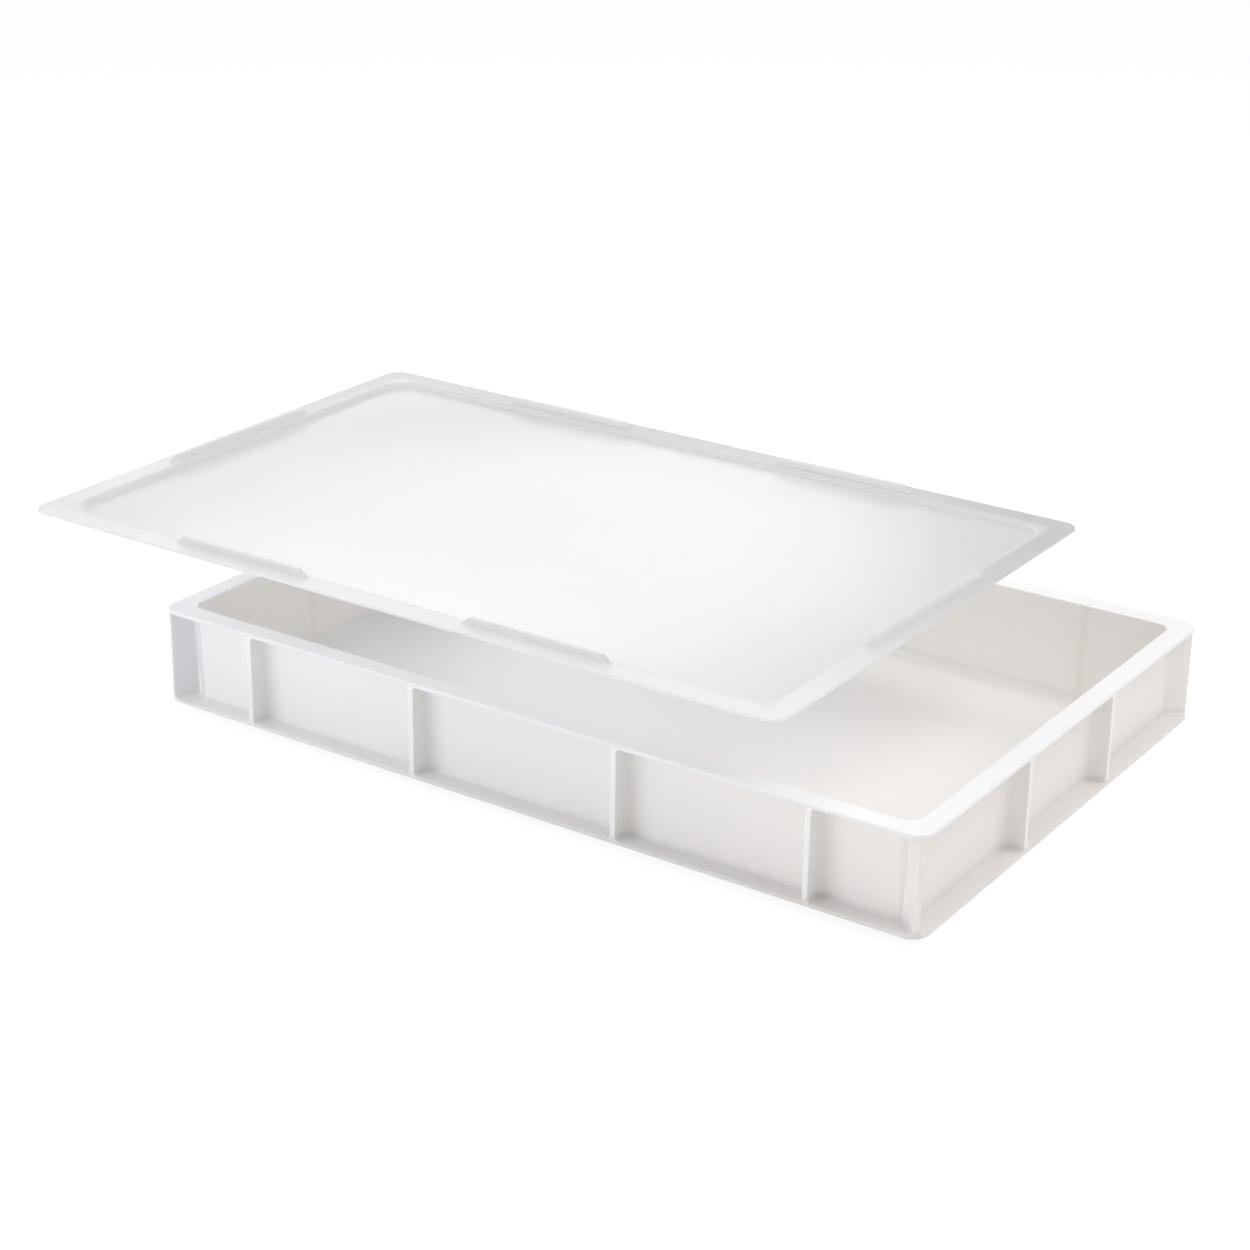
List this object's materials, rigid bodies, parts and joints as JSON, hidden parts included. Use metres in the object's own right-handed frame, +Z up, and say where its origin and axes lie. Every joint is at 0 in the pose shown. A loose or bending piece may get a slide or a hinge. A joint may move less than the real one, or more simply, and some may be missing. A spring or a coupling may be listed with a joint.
{
  "type": "dough proofing container",
  "caption": "Shallow stacking tray for proofing dough, with ribbed walls between two flanges, shown with its sunken-panel lid lifted clear and shifted towards one corner.",
  "frame": {"origin": "middle of the tray's foot, on the surface that the tray stands on", "axes": "+X along the tray's length, +Y across its width, +Z up"},
  "size_m": [0.675, 0.445, 0.1504],
  "materials": {
    "tray_plastic": "satin, slightly translucent natural white polyethylene",
    "lid_plastic": "smooth, soft gloss, natural white polyethylene"
  },
  "bodies": {
    "tray_body": {"tray": "tray_plastic"},
    "lid_body": {"lid": "lid_plastic"}
  },
  "joints": [
    {"name": "lid_lift", "type": "slide", "parent": "tray_body", "child": "lid_body", "axis": [-0.677, -0.4062, 0.6138], "range_m": [-0.11078, 0.08]}
  ]
}
